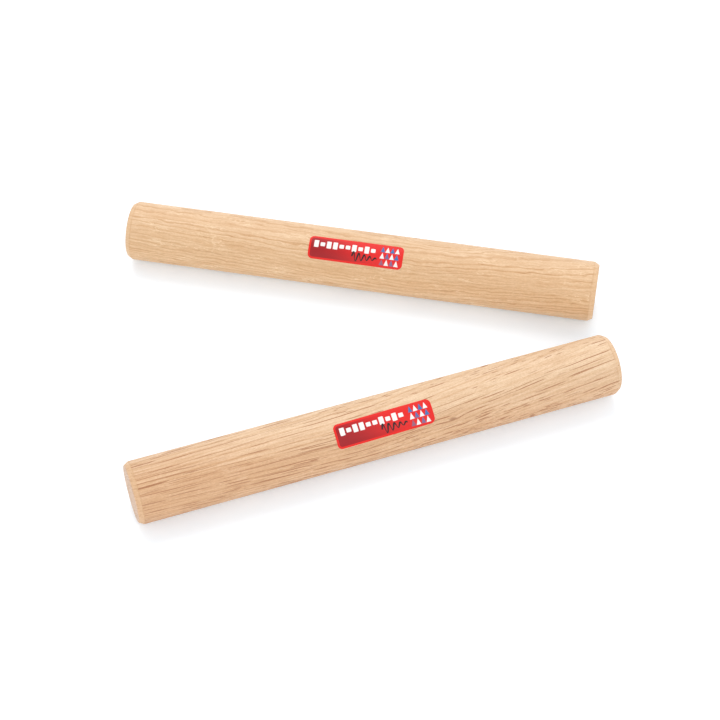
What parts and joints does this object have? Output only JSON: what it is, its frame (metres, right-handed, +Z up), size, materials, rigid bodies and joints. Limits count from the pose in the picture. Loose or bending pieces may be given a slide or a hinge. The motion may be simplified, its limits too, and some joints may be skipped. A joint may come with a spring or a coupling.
{
  "type": "claves",
  "caption": "Round hardwood claves with bevelled ends and a wrapped label on each, struck together for a sharp click.",
  "frame": {"origin": "on the surface that the claves lie on, under the middle of the pair", "axes": "+X to the right along the pair, +Y away from the player, +Z up"},
  "size_m": [0.205, 0.1638, 0.0251],
  "materials": {
    "oak": "turned smooth, bare pale oak",
    "printed_film": "glossy printed vinyl film"
  },
  "bodies": {
    "rear_stick": {"rear_clave": "oak", "rear_label": "printed_film"},
    "front_stick": {"front_clave": "oak", "front_label": "printed_film"}
  },
  "joints": [
    {"name": "front_clave_lift", "type": "slide", "parent": "rear_stick", "child": "front_stick", "axis": [0, 0, 1], "range_m": [0, 0.15]}
  ]
}
